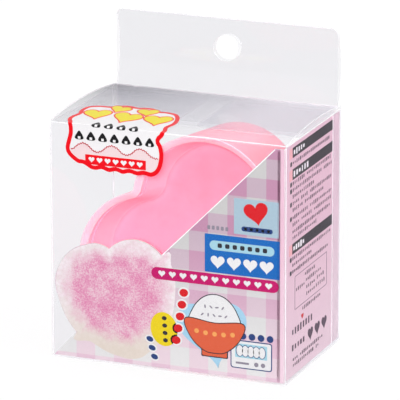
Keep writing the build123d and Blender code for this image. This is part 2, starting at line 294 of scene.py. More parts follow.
def pinkPlastic():
    material, tree = newMaterial("pinkPolypropyleneMoulded")
    here = addNode(tree, "ShaderNodeTexCoord").outputs["Object"]
    # masks read from the mesh: painted pale light, painted fill light on walls, embossed dots, share of the
    # painted glow
    paintedPale, paintedFillLight, dots, inner = (addNode(tree, "ShaderNodeAttribute", attribute_name=layer).outputs["Fac"]
                                for layer in ("paintedPale", "paintedFillLight", "emboss", "inner"))
    cloud = addNode(tree, "ShaderNodeTexNoise", {
        "Vector": here, "Scale": 1 / (plastic["cloud"] * mm), "Detail": 3.0})
    split = addNode(tree, "ShaderNodeSeparateXYZ", {"Vector": here})
    # painted shade: the colour is darker towards the top of the mold and lighter towards its foot
    lower = addNode(tree, "ShaderNodeMapRange", {
        "Value": split.outputs["Z"], "From Min": moldHigh.z - plastic["paintedShadeTop"] * mm,
        "From Max": moldLow.z + plastic["paintedShadeFoot"] * mm, "To Min": -plastic["fade"],
        "To Max": plastic["fade"]})
    fade = addNode(tree, "ShaderNodeMath", {0: cloud, 1: lower}, operation="ADD")
    tone = addNode(tree, "ShaderNodeValToRGB", {"Fac": fade},
                   stops=[(0.2, linear(plastic["body"])), (0.8, linear(plastic["bodyLight"]))])
    # painted fill light: walls get a lighter pink against their shade
    wallFilled = addNode(tree, "ShaderNodeMix", {0: paintedFillLight, 6: tone, 7: linear(plastic["wall"])}, data_type="RGBA")
    # painted light: the pale colour mixed in where the cup is to look lit and translucent
    colour = addNode(tree, "ShaderNodeMix", {0: paintedPale, 6: wallFilled, 7: linear(plastic["paintedPale"])}, data_type="RGBA")
    grain = addNode(tree, "ShaderNodeTexNoise", {
        "Vector": here, "Scale": 1 / (plastic["grain"] * mm), "Detail": 2.0})
    cells = addNode(tree, "ShaderNodeTexVoronoi", {
        "Vector": here, "Scale": 1 / (plastic["emboss"] * mm)}, feature="SMOOTH_F1")
    raised = addNode(tree, "ShaderNodeMath", {0: cells, 1: dots}, operation="MULTIPLY")
    height = addNode(tree, "ShaderNodeMath", {0: grain, 1: raised}, operation="ADD")
    bump = addNode(tree, "ShaderNodeBump", {
        "Height": height, "Strength": 0.1, "Distance": plastic["relief"] * mm})
    # painted glow: an emission in pink-red, weighted by the inner mask, keeps shaded walls pink
    paintedGlowStrength = addNode(tree, "ShaderNodeMath", {0: inner, 1: plastic["paintedGlowStrength"]}, operation="MULTIPLY")
    body = addNode(tree, "ShaderNodeBsdfPrincipled", {
        "Base Color": colour, "Roughness": plastic["roughness"], "IOR": plastic["ior"],
        "Normal": bump, "Subsurface Weight": plastic["scatterShare"],
        "Subsurface Radius": plastic["scatterRadius"], "Subsurface Scale": plastic["scatter"] * mm,
        "Specular IOR Level": plastic["shine"],
        "Emission Color": plastic["paintedGlowColour"], "Emission Strength": paintedGlowStrength})
    addNode(tree, "ShaderNodeOutputMaterial", {"Surface": body})
    return material


# Heart outline in mm, before it is tilted, and how finely its faces and walls are divided
heart = dict(
    lobeRadius=28.0, lobeOffset=15.8, tipRadius=14.0, tipDistance=43.6, sideRadius=92.6, cleftRadius=2.5,
    tilt=47.6, steps=(14, 44, 26, 20), middle=(0.0, -13.0), faceShares=(0.12, 0.3, 0.48, 0.66, 0.82, 0.93),
    faceMark=99, wallShares=(0.04, 0.3, 0.6, 0.8, 0.96), wallFrom=2.5
)


def heartRing():  # outline points with their outward directions, once round from the cleft
    lobe = Vector((heart["lobeOffset"], 0))
    tip = Vector((0, -heart["tipDistance"]))
    reach = heart["lobeRadius"] + heart["cleftRadius"]
    cleft = Vector((0, math.sqrt(reach ** 2 - heart["lobeOffset"] ** 2)))
    toTip = tip - lobe
    reachLobe = heart["sideRadius"] - heart["lobeRadius"]
    reachTip = heart["sideRadius"] - heart["tipRadius"]
    along = (reachLobe ** 2 - reachTip ** 2 + toTip.length ** 2) / (2 * toTip.length)
    across = math.sqrt(reachLobe ** 2 - along ** 2)
    unit = toTip.normalized()
    side = lobe + unit * along + Vector((unit.y, -unit.x)) * across
    arcs = [
        (cleft, heart["cleftRadius"], Vector((0, -1)), lobe - cleft, -1),
        (lobe, heart["lobeRadius"], cleft - lobe, lobe - side, 1),
        (side, heart["sideRadius"], lobe - side, tip - side, 1),
        (tip, heart["tipRadius"], tip - side, Vector((0, -1)), 1),
    ]
    half = []
    for (centre, radius, start, end, facing), count in zip(arcs, heart["steps"]):
        first = math.atan2(start.y, start.x)
        sweep = math.atan2(end.y, end.x) - first
        sweep = (sweep + math.pi) % (2 * math.pi) - math.pi
        for i in range(count):
            angle = first + sweep * i / count
            spoke = Vector((math.cos(angle), math.sin(angle)))
            half.append((centre + spoke * radius, spoke * facing))
    bottom = (tip + Vector((0, -heart["tipRadius"])), Vector((0, -1)))
    mirrored = [(Vector((-p.x, p.y)), Vector((-n.x, n.y))) for p, n in reversed(half[1:])]
    return half + [bottom] + mirrored


def moldPlace():  # turns a point (along the lobes, towards the cleft, out of the cup) into the row frame
    turn = math.radians(heart["tilt"])
    c, s = math.cos(turn), math.sin(turn)
    ring = [p for p, _ in heartRing()]
    low = Vector((min(p.x * c - p.y * s for p in ring), min(p.x * s + p.y * c for p in ring)))
    origin = Vector((moldLow.x - low.x * mm, moldLow.y, moldLow.z - low.y * mm))

    def spot(a, b, height):
        return (origin.x + (a * c - b * s) * mm, origin.y - height * mm, origin.z + (a * s + b * c) * mm)
    return spot


def rounded(corner, radius, before, after, steps=4):  # arc that rounds a profile corner
    corner = Vector(corner)
    inTo = (Vector(before) - corner).normalized()
    outTo = (Vector(after) - corner).normalized()
    half = inTo.angle(outTo) / 2
    cut = radius / math.tan(half)
    centre = corner + (inTo + outTo).normalized() * radius / math.sin(half)
    first = corner + inTo * cut - centre
    last = corner + outTo * cut - centre
    points = []
    for i in range(steps + 1):
        t = i / steps
        spoke = (first * (1 - t) + last * t).normalized() * radius
        points.append(tuple(centre + spoke))
    return points


def heartShell(name, profile, paint, material):
    # profile runs (inset, height) from the middle of one face to the middle of the other
    ring = heartRing()
    spot = moldPlace()
    middle = Vector(heart["middle"])
    count = len(ring)

    def faceRows(inset, height, shares):
        return [([middle + (p - n * inset - middle) * share for p, n in ring], heart["faceMark"], height)
                for share in shares]

    rows = faceRows(*profile[0], heart["faceShares"])  # (outline, inset, height)
    rows += [([p - n * inset for p, n in ring], inset, height) for inset, height in profile]
    rows += faceRows(*profile[-1], heart["faceShares"][::-1])
    points = [spot(middle.x, middle.y, profile[0][1])]
    for row, _, height in rows:
        points += [spot(p.x, p.y, height) for p in row]
    points.append(spot(middle.x, middle.y, profile[-1][1]))
    faces = [(0, 1 + (i + 1) % count, 1 + i) for i in range(count)]
    for r in range(len(rows) - 1):
        for i in range(count):
            a, b = 1 + r * count + i, 1 + r * count + (i + 1) % count
            faces.append((a, b, b + count, a + count))
    last = 1 + (len(rows) - 1) * count
    faces += [(last + i, last + (i + 1) % count, len(points) - 1) for i in range(count)]
    piece = makePiece(name, points, faces, [material], smooth=True)
    outwards(piece)
    for layer, weigh in paint.items():
        attribute = piece.data.attributes.new(layer, "FLOAT", "POINT")
        each = [weigh(heart["faceMark"], profile[0][1])]
        for _, inset, height in rows:
            each += [weigh(inset, height)] * count
        each.append(weigh(heart["faceMark"], profile[-1][1]))
        attribute.data.foreach_set("value", each)
    return piece


def roundedProfile(start, corners, end):  # corners: (point, radius)
    track = [start] + [c for c, _ in corners] + [end]
    profile = []
    for i, (corner, radius) in enumerate(corners):
        arc = rounded(corner, radius, track[i], track[i + 2], 8 if radius > 1 else 3)
        if i:  # rows along the straight run before this corner, closer to its end
            begin = Vector(profile[-1])
            run = Vector(arc[0]) - begin
            profile += [tuple(begin + run * t) for t in heart["wallShares"] if run.length > heart["wallFrom"]]
        profile += arc
    return profile


# Sizes in mm, depths counted from the rim; the painted pale light and the painted glow's share are given for
# the outer wall, the rim and the inside
cup = dict(
    depth=41.0, draw=5.0, wall=2.1, floor=2.4, corner=3.0, backRound=1.6, backFlat=3.2, rim=2.66,
    rimDrop=1.6, throat=2.7, step=1.2, stepRound=0.3, seat=18.1, seatRound=0.2, edge=0.2, paintedLightTo=20,
    dotsFrom=5, paintedPale=(0.5, 1.0, 0.7), inner=(0.15, 0.3, 1.0)
)
press = dict(
    top=4.3, recess=11.4, floor=2.2, footRound=0.4, footFlat=2.5, lip=0.5, slope=3.9, corner=1.5, fit=0.06,
    edge=0.1, lipPaintedLight=0.3, wallPaintedLight=1.0, footPaintedLight=0.1
)
farIn, nearIn = 12.0, 5.0  # any distance further in along a flat face gives its direction


def drawAt(depth):
    return cup["draw"] * depth / cup["depth"]


def makeMold():
    material = pinkPlastic()
    throatInset = cup["wall"] + drawAt(cup["throat"])
    wallFoot = cup["wall"] + drawAt(cup["seat"])
    floorDepth = cup["depth"] - cup["floor"]
    floorInset = cup["wall"] + drawAt(floorDepth) + cup["step"]
    back = (drawAt(cup["depth"]), -cup["depth"])
    profile = [(back[0] + cup["backFlat"], back[1])] + roundedProfile((farIn, -cup["depth"]), [
        (back, cup["backRound"]),
        ((0, 0), cup["edge"]),
        ((cup["rim"], -cup["rimDrop"]), cup["edge"]),
        ((throatInset, -cup["throat"]), cup["edge"]),
        ((wallFoot, -cup["seat"]), cup["seatRound"]),
        ((wallFoot + cup["step"], -cup["seat"]), cup["stepRound"]),
        ((floorInset, -floorDepth), cup["corner"]),
    ], (floorInset + nearIn, -floorDepth))

    def isRim(inset, height):
        return inset < cup["rim"] + 0.1 and height > -cup["rimDrop"] - 0.02

    def isOuter(inset, height):
        return inset == heart["faceMark"] or (inset < drawAt(-height) + 0.3 and height < -0.4)

    def shade(outer, rim, inside):
        return lambda inset, height: (
            outer if isOuter(inset, height) else rim if isRim(inset, height) else inside)

    body = heartShell("moldCup", profile, {
        "paintedPale": shade(*cup["paintedPale"]),
        "inner": shade(*cup["inner"]),
        # painted fill light on the rim and inner walls down to the given depth
        "paintedFillLight": lambda inset, height: float(height > -cup["paintedLightTo"] and not isOuter(inset, height)),
        "emboss": lambda inset, height: float(inset > cup["dotsFrom"] and height > 1 - cup["depth"])}, material)
    place(body, "mold", ["mold_cup"])

    trayDepth = press["top"] + press["recess"]
    footDepth = trayDepth + press["floor"]
    top = cup["wall"] + drawAt(press["top"]) + press["fit"]
    foot = cup["wall"] + drawAt(footDepth) + press["fit"]
    mouth = top + press["lip"]
    trayInset = mouth + press["slope"]
    profile = [(foot + press["footFlat"], -footDepth)] + roundedProfile((farIn, -footDepth), [
        ((foot, -footDepth), press["footRound"]),
        ((top, -press["top"]), press["edge"]),
        ((mouth, -press["top"]), press["edge"]),
        ((trayInset, -trayDepth), press["corner"]),
    ], (trayInset + nearIn, -trayDepth))

    # painted fill light on the press plate: a little on the lip, full on the tray walls, little near its floor
    def trayPaintedLight(inset, height):
        if inset == heart["faceMark"]:
            return 0.0
        if height > -press["top"] - 0.3:
            return press["lipPaintedLight"]
        return press["wallPaintedLight"] if height > 0.5 - trayDepth else press["footPaintedLight"]

    plate = heartShell("pressPlate", profile, {
        "paintedFillLight": trayPaintedLight,
        # the whole press plate gets the full painted glow
        "inner": lambda inset, height: 1.0,
        "emboss": lambda inset, height: 1.0}, material)
    place(plate, "press", ["press_plate"])


makeMold()
print("mold ready")

# Coated board, offset printed: matt, faintly mottled ink over a gingham check, white fibre at the cut edges
card = dict(
    # the second set of colours is a lit copy of the first: painted light, lighter towards the bottom of the
    # card
    check=7.45, checkX=0.8, checkZ=39.6, white="bcbbba", middle="b7a2af", dark="b4849f", litWhite="d6d5d5",
    litMiddle="dbc7d0", litDark="d6b7c7", board="e2e0de", border=43.4, pink="dcb4c6", pinkLit="e2c6d3",
    paintedLightFrom=4, paintedLightTo=55, fibre=0.6, fibreShade=(0.96, 0.96, 0.96, 1), roughness=0.42, shine=0.25,
    relief=0.05
)


def cardBoard(name, side):
    material, tree = newMaterial(name)
    here = addNode(tree, "ShaderNodeTexCoord").outputs["Object"]
    split = addNode(tree, "ShaderNodeSeparateXYZ", {"Vector": here})
    # painted light: 1 near the foot of the card, 0 higher up, picks the lit copies
    pale = addNode(tree, "ShaderNodeMapRange", {
        "Value": split.outputs["Z"], "From Min": card["paintedLightFrom"] * mm, "From Max": card["paintedLightTo"] * mm,
        "To Min": 1.0, "To Max": 0.0})
    fibre = addNode(tree, "ShaderNodeTexNoise", {
        "Vector": here, "Scale": 1 / (card["fibre"] * mm), "Detail": 3.0})
    pink = addNode(tree, "ShaderNodeMix", {
        0: pale, 6: linear(card["pink"]), 7: linear(card["pinkLit"])}, data_type="RGBA")
    printed = pink
    if side == "Y":
        bands = []
        for axis, start, first in (("X", card["checkX"], 1.0), ("Z", card["checkZ"], 0.0)):
            shifted = addNode(tree, "ShaderNodeMath", {
                0: split.outputs[axis], 1: (start + first * card["check"]) * mm}, operation="SUBTRACT")
            cells = addNode(tree, "ShaderNodeMath", {0: shifted, 1: card["check"] * mm}, operation="DIVIDE")
            whole = addNode(tree, "ShaderNodeMath", {0: cells}, operation="FLOOR")
            bands.append(addNode(tree, "ShaderNodeMath", {0: whole, 1: 2.0}, operation="FLOORED_MODULO"))
        both = addNode(tree, "ShaderNodeMath", {0: bands[0], 1: bands[1]}, operation="ADD")
        share = addNode(tree, "ShaderNodeMath", {0: both, 1: 0.5}, operation="MULTIPLY")
        shadedCheck, litCheck = (addNode(tree, "ShaderNodeValToRGB", {"Fac": share}, stops=[
            (0.0, linear(card[dark])), (0.5, linear(card[middle])), (1.0, linear(card[white]))])
            for dark, middle, white in (("dark", "middle", "white"), ("litDark", "litMiddle", "litWhite")))
        check = addNode(tree, "ShaderNodeMix", {0: pale, 6: shadedCheck, 7: litCheck}, data_type="RGBA")
        beyond = addNode(tree, "ShaderNodeMath", {0: split.outputs["X"], 1: card["border"] * mm},
                         operation="GREATER_THAN")
        printed = addNode(tree, "ShaderNodeMix", {0: beyond, 6: check, 7: printed}, data_type="RGBA")
    mottle = addNode(tree, "ShaderNodeValToRGB", {"Fac": fibre},
                     stops=[(0.3, card["fibreShade"]), (0.7, (1, 1, 1, 1))])
    printed = addNode(tree, "ShaderNodeMix", {0: 1.0, 6: printed, 7: mottle}, data_type="RGBA",
                      blend_type="MULTIPLY")
    shape = addNode(tree, "ShaderNodeNewGeometry")
    facing = addNode(tree, "ShaderNodeSeparateXYZ", {"Vector": shape.outputs["True Normal"]})
    outer = addNode(tree, "ShaderNodeMath", {0: facing.outputs[side], 1: 0.5 if side == "X" else -0.5},
                    operation="GREATER_THAN" if side == "X" else "LESS_THAN")
    colour = addNode(tree, "ShaderNodeMix", {0: outer, 6: linear(card["board"]), 7: printed}, data_type="RGBA")
    bump = addNode(tree, "ShaderNodeBump", {"Height": fibre, "Strength": 0.05, "Distance": card["relief"] * mm})
    board = addNode(tree, "ShaderNodeBsdfPrincipled", {
        "Base Color": colour, "Roughness": card["roughness"], "IOR": 1.5,
        "Specular IOR Level": card["shine"], "Normal": bump})
    addNode(tree, "ShaderNodeOutputMaterial", {"Surface": board})
    return material


for node, side in (("card_front_leaf", "Y"), ("card_side_leaf", "X")):
    dress(node, cardBoard("coatedBoardPrinted" + side, side))
print("card dressed")

# Offset ink: thin flat film, its fine mottle drawn coarse enough to show; the sticker's film is shinier
inks = dict(
    blue="0a5fac", paleBlue="9ac3d1", sky="9eb5c3", white="dcdbdc", dark="24222c", red="c9101a",
    grey="857f8c", cut="f6f4f5", magenta="b6005f", heartBlue="9ac3da", orange="ce5939", orangePale="e29a55",
    yellow="dcc310", navy="213a70", bar="201722", text="4e394b", tab="eaa9b2", line="84677c", note="f0e8ef",
    fold="f8f4f6"
)
film = dict(red="da0818", white="dcdadc", pale="ddc7ca", zigzag="b01c30", yellow="dacb0a", dark="121114")
inkLayer = dict(mottle=0.45, thinned=0.92, relief=0.04, shine=0.25, cardRoughness=0.4, filmRoughness=0.28)


def printInk(name, hexCode, roughness):
    material, tree = newMaterial(name)
    here = addNode(tree, "ShaderNodeTexCoord").outputs["Object"]
    mottle = addNode(tree, "ShaderNodeTexNoise", {
        "Vector": here, "Scale": 1 / (inkLayer["mottle"] * mm), "Detail": 2.0})
    full = linear(hexCode)
    tone = addNode(tree, "ShaderNodeValToRGB", {"Fac": mottle},
                   stops=[(0.25, tuple(inkLayer["thinned"] * c for c in full[:3]) + (1,)), (0.7, full)])
    bump = addNode(tree, "ShaderNodeBump", {
        "Height": mottle, "Strength": 0.04, "Distance": inkLayer["relief"] * mm})
    ink = addNode(tree, "ShaderNodeBsdfPrincipled", {
        "Base Color": tone, "Roughness": roughness, "IOR": 1.5,
        "Specular IOR Level": inkLayer["shine"], "Normal": bump})
    addNode(tree, "ShaderNodeOutputMaterial", {"Surface": ink})
    return material


def smoothLoop(points, per=6):  # closed curve through the points
    count = len(points)
    curve = []
    for i in range(count):
        a, b, c, d = (Vector(points[(i + k - 1) % count]) for k in range(4))
        for j in range(per):
            t = j / per
            curve.append(tuple(0.5 * (2 * b + (c - a) * t + (2 * a - 5 * b + 4 * c - d) * t ** 2
                                      + (3 * b - a - 3 * c + d) * t ** 3)))
    return curve


def bar(x0, y0, x1, y1, radius=0.3):  # box with rounded corners
    radius = min(radius, (x1 - x0) / 2 - 0.01, (y1 - y0) / 2 - 0.01)
    corners = [(x1 - radius, y1 - radius), (x0 + radius, y1 - radius), (x0 + radius, y0 + radius),
               (x1 - radius, y0 + radius)]
    outline = []
    for k, (x, y) in enumerate(corners):
        for j in range(5):
            angle = math.radians(90 * k + 22.5 * j)
            outline.append((x + radius * math.cos(angle), y + radius * math.sin(angle)))
    return outline


def oval(x, y, rx, ry, turn=0.0, count=30):
    c, s = math.cos(math.radians(turn)), math.sin(math.radians(turn))
    outline = []
    for i in range(count):
        angle = 2 * math.pi * i / count
        a, b = rx * math.cos(angle), ry * math.sin(angle)
        outline.append((x + a * c - b * s, y + a * s + b * c))
    return outline


def littleHeart(x, y, width, turn=0.0, count=36):
    c, s = math.cos(math.radians(turn)), math.sin(math.radians(turn))
    outline = []
    for i in range(count):
        t = 2 * math.pi * i / count
        a = width * math.sin(t) ** 3 / 2
        b = width * (13 * math.cos(t) - 5 * math.cos(2 * t) - 2 * math.cos(3 * t) - math.cos(4 * t) + 2.5) / 32
        outline.append((x + a * c - b * s, y + a * s + b * c))
    return outline


def ribbon(points, width):  # stroke of even width along an open line
    points = [Vector(p) for p in points]
    left, right = [], []
    for i, p in enumerate(points):
        along = (points[min(i + 1, len(points) - 1)] - points[max(i - 1, 0)]).normalized()
        across = Vector((-along.y, along.x)) * width / 2
        left.append(tuple(p + across))
        right.append(tuple(p - across))
    return left + right[::-1]


def grown(outline, by):  # closed outline moved outwards by a distance, inwards when negative
    count = len(outline)
    area = sum(outline[i - 1][0] * outline[i][1] - outline[i][0] * outline[i - 1][1] for i in range(count))
    facing = by if area > 0 else -by
    moved = []
    for i, p in enumerate(outline):
        along = (Vector(outline[(i + 1) % count]) - Vector(outline[i - 1])).normalized()
        moved.append((p[0] + along.y * facing, p[1] - along.x * facing))
    return moved


def makePlates(name, shapes, palette, spread, cuts=(), sink=0.0):
    # shapes: (ink, height of its top in mm, outline in mm); sink: share of that height where its foot lies
    names = list(palette)
    work = bmesh.new()
    for ink, top, outline in shapes:
        low, high = ([work.verts.new((u, v, h)) for u, v in outline] for h in (top * sink, top))
        count = len(outline)
        faces = [work.faces.new(high), work.faces.new(low[::-1])]
        faces += [work.faces.new((low[i - 1], low[i], high[i], high[i - 1])) for i in range(count)]
        for face in faces:
            face.material_index = names.index(ink)
    bmesh.ops.triangulate(work, faces=[f for f in work.faces if len(f.verts) > 4])
    for cut in cuts:
        everything = work.verts[:] + work.edges[:] + work.faces[:]
        bmesh.ops.bisect_plane(work, geom=everything, plane_co=(0, cut, 0), plane_no=(0, 1, 0))
    bmesh.ops.triangulate(work, faces=[f for f in work.faces if len(f.verts) > 4])
    for vert in work.verts:
        vert.co = spread(*vert.co)
    bmesh.ops.recalc_face_normals(work, faces=work.faces)
    piece = makePiece(name, [], [], list(palette.values()))
    work.to_mesh(piece.data)
    work.free()
    return piece


def onFront(u, v, out):  # mm across and up the card's front leaf
    return Vector((u * mm, cardLow.y - out * mm, v * mm))


def onSide(u, v, out):  # mm back from the front edge and up the card's side leaf
    return Vector((leafHigh.x + out * mm, frontLow.y + u * mm, v * mm))


# Heights of the ink layers on the card in mm, far thicker than real ones so that they stay apart in the render
inkHeight = dict(
    bare=0.03, first=0.04, second=0.06, third=0.085, over=0.095, grain=0.1, rack=0.102, fourth=0.11,
    spots=0.118, fold=0.13
)


def frontShapes():
    first, second, third, over, fourth = (
        inkHeight[key] for key in ("first", "second", "third", "over", "fourth"))
    shapes = [
        ("blue", first, bar(14.4, 39.7, 43.3, 54.1)), ("paleBlue", second, bar(16.3, 48.2, 41.3, 51.8, 1.8)),
        ("sky", first, bar(25.7, 55.2, 42.9, 68.6)), ("red", second, littleHeart(34.4, 63.2, 9.4, 12)),
        ("navy", third, bar(28.6, 56.5, 40.6, 58.3, 0.9)), ("magenta", first, bar(-6.5, 34.6, 43.0, 39.2, 2.3)),
        ("heartBlue", first, littleHeart(17.8, 15.6, 27.4, 8, 60)),
        ("yellow", second, oval(-1.6, 15.8, 5.3, 6.5, 8)),
        # painted shadow: a see-through dark film along the fold
        ("fold", inkHeight["fold"], bar(42.35, 1.2, 43.45, 87.6, 0.2)),
        ("cut", inkHeight["bare"], ribbon([(-2.2, 43.9), (41.4, 88.15)], 0.32)),  # bare board at the cut
    ]
    shapes += [("dark", third, bar(19.4 + 2.9 * i, 49.2, 21.1 + 2.9 * i, 50.9, 0.5)) for i in range(7)]
    shapes += [("white", second, littleHeart(19.4 + 6.3 * i, 43.6, 5.4)) for i in range(4)]
    shapes += [("white", second, littleHeart(-2.4 + 4.15 * i, 36.8, 2.7)) for i in range(11)]
    shapes += [("white", third, oval(30.2 + 2.2 * i, 57.4, 0.55, 0.55)) for i in range(5)]
    shapes += [("grey", first, bar(15.4 + 1.75 * i, 55.8, 16.5 + 1.75 * i, 57.3, 0.3)) for i in range(5)]
    for i in range(5):  # slanting column of red marks with white edges
        x, z = 6.2 - 0.75 * i, 30.6 - 4.6 * i
        shapes += [("white", second, oval(x, z, 2.3, 2.1, 12)), ("red", third, oval(x, z, 1.7, 1.5, 12))]
    for i in range(3):  # short column of blue marks
        x, z = -7.2 + 0.9 * i, 11.4 - 3.3 * i
        shapes += [("white", second, oval(x, z, 1.9, 1.5, -20)), ("navy", third, oval(x, z, 1.4, 1.0, -20))]
    shapes += [("dark", third, oval(-1.5 + 0.15 * i, 20.0 - 2.8 * i, 0.95, 0.8)) for i in range(4)]
    mound = smoothLoop([(8.6, 19.5), (10.0, 25.4), (13.6, 29.6), (18.0, 31.2), (22.6, 30.0), (26.4, 25.8),
                        (27.8, 19.5), (18.0, 18.0)])
    bowl = smoothLoop([(7.0, 21.2), (18.2, 20.4), (29.4, 21.2), (27.6, 14.6), (22.6, 10.0), (18.2, 9.2),
                       (13.8, 10.0), (8.8, 14.6)])
    shapes += [("dark", second, grown(mound, 0.35)), ("white", third, mound)]
    shapes += [("dark", second, bar(13.0, 7.4, 23.4, 10.4, 0.5)),
               ("orange", third, bar(13.4, 7.8, 23.0, 10.2, 0.4)),
               ("dark", over, grown(bowl, 0.35)), ("orange", fourth, bowl)]
    for i in range(5):  # round spots along the bowl
        z = 16.8 - 0.12 * (4 - (i - 2) ** 2)
        shapes.append(("orangePale", inkHeight["spots"], oval(11.2 + 3.5 * i, z, 0.9, 0.9)))
    for i in range(9):  # loose grains on the rice
        x, z = 13.4 + 2.3 * (i % 5) + 1.1 * (i // 5), 23.4 + 3.1 * (i // 5)
        shapes.append(("grey", inkHeight["grain"], oval(x, z, 0.75, 0.3, 40 + 47 * i)))
    shapes += [("navy", second, bar(24.4, 4.5, 40.5, 15.3, 1.0)),
               ("white", third, bar(24.8, 4.9, 40.1, 14.9, 0.7)),
               ("paleBlue", over, bar(26.2, 8.7, 38.6, 14.0)), ("grey", over, bar(26.4, 6.2, 31.6, 7.0))]
    for i in range(5):  # plates in a rack, and round marks above it
        x = 28.0 + 2.15 * i
        shapes += [("navy", inkHeight["rack"], oval(x, 11.3, 1.5, 2.3)),
                   ("white", fourth, oval(x, 11.3, 1.25, 2.05)),
                   ("navy", second, oval(25.7 + 3.5 * i, 16.9, 1.3, 1.3))]
    shapes += [("grey", over, oval(34.4 + 2.6 * i, 6.6, 0.85, 0.85)) for i in range(2)]
    return shapes


def sideShapes():
    flat, shapes = inkHeight["bare"], []
    for low, high in ((83.1, 86.9), (74.9, 78.9), (47.0, 51.0)):  # dark bars with a pink end
        shapes += [("bar", flat, bar(8.9, low, 50.0, high)), ("tab", flat, bar(5.7, low, 8.8, high))]
    for z in (81.2, 73.6, 71.1, 66.1, 60.7, 45.4, 40.4):  # bullets
        shapes.append(("bar", flat, bar(6.5, z - 0.95, 8.3, z + 0.75, 0.5)))
    left, right, foot, top = 11.8, 44.6, 25.4, 37.9  # frame of thin lines
    shapes += [("line", flat, bar(left, z - 0.14, right, z + 0.14, 0.1)) for z in (foot, top)]
    shapes += [("line", inkHeight["first"], bar(u - 0.16, foot, u + 0.16, top, 0.1)) for u in (left, right)]
    shapes.append(("red", flat, littleHeart(19.6, 20.6, 2.4)))
    shapes += [("text", flat, littleHeart(28.0 + 7.2 * i, 11.2, 5.4)) for i in range(3)]
    return shapes


def makePrints():
    palette = {key: printInk("offsetInk" + key.capitalize(), code, inkLayer["cardRoughness"])
               for key, code in inks.items()}
    # painted shadow where the board bends into its fold
    palette["fold"], tree = newMaterial("foldShadowFilm")  # thin shade where the board bends into its fold
    shade = addNode(tree, "ShaderNodeBsdfTransparent", {"Color": linear(inks["fold"])})
    addNode(tree, "ShaderNodeOutputMaterial", {"Surface": shade})
    for name, shapes, spread in (("frontPrint", frontShapes(), onFront), ("sidePrint", sideShapes(), onSide)):
        used = {key: palette[key] for key in palette if key in {s[0] for s in shapes}}
        place(makePlates(name, shapes, used, spread), "box")
    return palette


palette = makePrints()
print("card printed")

# Offset ink, printed as rice: pale grains at the rim, creamy at its foot, rose-coloured and speckled inside
rice = dict(
    rim="e3dade", rimShade="dacfd0", rimLow="cec2b2", centre="d392ae", speck="cc739b", light="dabdc6",
    grain=1.5, speckSize=0.6, patch=6.0, patchShare=0.1, wander=4.0, wanderShare=0.22, fade=(0.65, 0.97),
    lowFrom=22, lowTo=8, lowShare=0.16, creamFrom=24, creamTo=6, creamShare=0.75, roughness=0.4,
    relief=0.05, thick=0.02, drawnIn=0.993, middle=(-20.8, 25.6),
    shares=(0.15, 0.3, 0.45, 0.6, 0.7, 0.78, 0.85, 0.91, 0.96, 1.0),
    edge=((42.7, 43.0), (30.4, 47.6), (22.1, 43.1), (17.6, 44.6), (12.7, 43.7), (4.2, 38.1), (0.6, 28.3),
          (2.8, 19.0), (8.9, 9.6)),
    inner=((-30.7, 7.35), (-24.6, 4.3), (-19.5, 3.0), (-15.4, 2.5), (-10.8, 3.5), (-7.2, 6.3), (-3.65, 9.9),
           (-0.1, 15.5), (2.2, 23.2), (3.0, 29.8), (2.9, 35.7), (1.4, 40.6))
)


